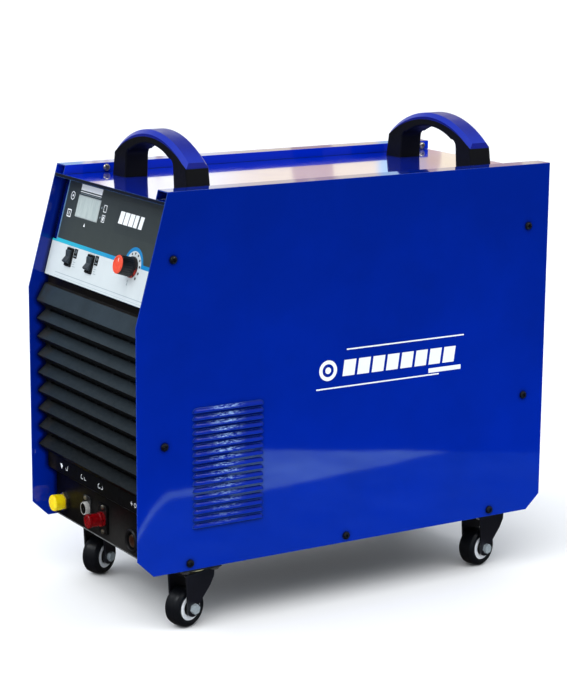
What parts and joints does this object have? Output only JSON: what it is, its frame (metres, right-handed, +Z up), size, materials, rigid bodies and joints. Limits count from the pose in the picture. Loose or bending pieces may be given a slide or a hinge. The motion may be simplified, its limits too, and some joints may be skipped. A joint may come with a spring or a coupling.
{
  "type": "plasma cutter power unit",
  "caption": "Wheeled cabinet of an air plasma cutter with a leaning control fascia, a finned front grille, arch handles and swivel casters.",
  "frame": {"origin": "on the floor below the middle of the whole outline, rear fittings included", "axes": "+Z up, the control fascia and the connectors face -Y, +Y towards the rear panel"},
  "size_m": [0.3014, 0.64, 0.593],
  "materials": {
    "panel_paint": "gloss powder coat, blue",
    "fascia_paint": "gloss powder coat, blue",
    "frame_steel": "zinc plated sheet steel",
    "dark_paint": "fine texture powder coat, near black",
    "grille_plastic": "moulded, satin",
    "overlay_film": "printed polycarbonate film",
    "window": "clear smoked window over a display",
    "grip_plastic": "fine grained moulding",
    "cap_plastic": "moulded, satin",
    "black_screw": "black oxide",
    "zinc": "bright zinc",
    "knob_plastic": "moulded, orange-red cap",
    "black_plastic": "moulded",
    "brass": "turned",
    "yellow_plastic": "soft moulded cap",
    "red_plastic": "moulded",
    "fork_paint": "gloss black on pressed steel",
    "hub_plastic": "moulded",
    "tyre": "satin polyurethane",
    "clear_bowl": "clear polycarbonate",
    "cast_alloy": "die cast",
    "cord": "rubber sheath",
    "aluminium": "extruded",
    "board": "glass fibre board with components",
    "ferrite": "ferrite core with a copper winding",
    "copper": "enamelled copper on a ring core",
    "can": "sleeved aluminium can"
  },
  "bodies": {
    "case": {"side_panel_right": "panel_paint", "side_panel_left": "panel_paint", "top_cover": "panel_paint", "base_plate": "dark_paint", "front_frame": "frame_steel", "rear_panel": "dark_paint", "front_grille": "grille_plastic", "connector_panel": "dark_paint", "fascia_plate": "fascia_paint", "control_overlay": "overlay_film", "display_window": "window", "rocker_frames": "black_plastic", "potentiometer": "zinc", "air_outlet_fitting": "brass", "trigger_socket": "zinc", "pilot_terminal_base": "red_plastic", "output_socket_body": "black_plastic", "output_socket_contact": "brass", "side_panel_screws": "black_screw", "hem_screws": "zinc", "connector_screws": "brass", "frame_bolts": "zinc", "handle_grips": "grip_plastic", "handle_caps": "cap_plastic", "caster_plates": "zinc", "fan_frame": "black_plastic", "fan_guard": "zinc", "breaker_body": "black_plastic", "cord_gland": "black_plastic", "power_cord": "cord", "regulator_body": "cast_alloy", "regulator_bowl": "clear_bowl", "earth_stud": "brass", "heatsinks": "aluminium", "power_modules": "black_plastic", "main_transformer": "ferrite", "output_choke": "copper", "capacitor_bank": "can", "control_board": "board", "solenoid_valve": "brass"},
    "current_knob": {"current_knob": "knob_plastic"},
    "rocker_left": {"rocker_left": "black_plastic"},
    "rocker_right": {"rocker_right": "black_plastic"},
    "fan_rotor": {"fan_rotor": "black_plastic"},
    "breaker_toggle": {"breaker_toggle": "black_plastic"},
    "outlet_dust_cap": {"outlet_dust_cap": "yellow_plastic"},
    "pilot_terminal_knob": {"pilot_terminal_knob": "red_plastic"},
    "regulator_knob": {"regulator_knob": "black_plastic"},
    "caster_fl_fork": {"caster_fork_fl": "fork_paint"},
    "caster_fl_wheel": {"caster_hub_fl": "hub_plastic", "caster_tyre_fl": "tyre"},
    "caster_fr_fork": {"caster_fork_fr": "fork_paint"},
    "caster_fr_wheel": {"caster_hub_fr": "hub_plastic", "caster_tyre_fr": "tyre"},
    "caster_rl_fork": {"caster_fork_rl": "fork_paint"},
    "caster_rl_wheel": {"caster_hub_rl": "hub_plastic", "caster_tyre_rl": "tyre"},
    "caster_rr_fork": {"caster_fork_rr": "fork_paint"},
    "caster_rr_wheel": {"caster_hub_rr": "hub_plastic", "caster_tyre_rr": "tyre"}
  },
  "joints": [
    {"name": "caster_fl_swivel", "type": "hinge", "parent": "case", "child": "caster_fl_fork", "pos_m": [-0.118, -0.2305, 0.07], "axis": [0, 0, 1], "continuous": true},
    {"name": "caster_fl_roll", "type": "hinge", "parent": "caster_fl_fork", "child": "caster_fl_wheel", "pos_m": [-0.1119, -0.24198, 0.025], "axis": [0.8829, 0.4695, 0], "continuous": true},
    {"name": "caster_fr_swivel", "type": "hinge", "parent": "case", "child": "caster_fr_fork", "pos_m": [0.118, -0.2305, 0.07], "axis": [0, 0, 1], "continuous": true},
    {"name": "caster_fr_roll", "type": "hinge", "parent": "caster_fr_fork", "child": "caster_fr_wheel", "pos_m": [0.12158, -0.243, 0.025], "axis": [0.9613, 0.2756, 0], "continuous": true},
    {"name": "caster_rl_swivel", "type": "hinge", "parent": "case", "child": "caster_rl_fork", "pos_m": [-0.104, 0.222, 0.07], "axis": [0, 0, 1], "continuous": true},
    {"name": "caster_rl_roll", "type": "hinge", "parent": "caster_rl_fork", "child": "caster_rl_wheel", "pos_m": [-0.09913, 0.20995, 0.025], "axis": [0.9272, 0.3746, 0], "continuous": true},
    {"name": "caster_rr_swivel", "type": "hinge", "parent": "case", "child": "caster_rr_fork", "pos_m": [0.104, 0.222, 0.07], "axis": [0, 0, 1], "continuous": true},
    {"name": "caster_rr_roll", "type": "hinge", "parent": "caster_rr_fork", "child": "caster_rr_wheel", "pos_m": [0.10715, 0.20939, 0.025], "axis": [0.9703, 0.2419, 0], "continuous": true},
    {"name": "current_knob_turn", "type": "hinge", "parent": "case", "child": "current_knob", "pos_m": [0.076, -0.28608, 0.44077], "axis": [0, -0.9639, 0.2664], "range_deg": [-135, 135]},
    {"name": "rocker_left_tilt", "type": "hinge", "parent": "case", "child": "rocker_left", "pos_m": [-0.088, -0.2907, 0.42856], "axis": [1, 0, 0], "range_deg": [0, 20]},
    {"name": "rocker_right_tilt", "type": "hinge", "parent": "case", "child": "rocker_right", "pos_m": [-0.03, -0.2907, 0.42856], "axis": [1, 0, 0], "range_deg": [0, 20]},
    {"name": "fan_spin", "type": "hinge", "parent": "case", "child": "fan_rotor", "pos_m": [-0.048, 0.24, 0.2065], "axis": [0, 1, 0], "continuous": true},
    {"name": "breaker_throw", "type": "hinge", "parent": "case", "child": "breaker_toggle", "pos_m": [0.078, 0.259, 0.4485], "axis": [1, 0, 0], "range_deg": [-36, 0]},
    {"name": "dust_cap_pull", "type": "slide", "parent": "case", "child": "outlet_dust_cap", "axis": [0, -1, 0], "range_m": [0, 0.03]},
    {"name": "terminal_unscrew", "type": "slide", "parent": "case", "child": "pilot_terminal_knob", "axis": [0, -1, 0], "range_m": [0, 0.006]},
    {"name": "regulator_turn", "type": "hinge", "parent": "case", "child": "regulator_knob", "pos_m": [0.058, 0.286, 0.3705], "axis": [0, 0, 1], "range_deg": [0, 1080]}
  ]
}
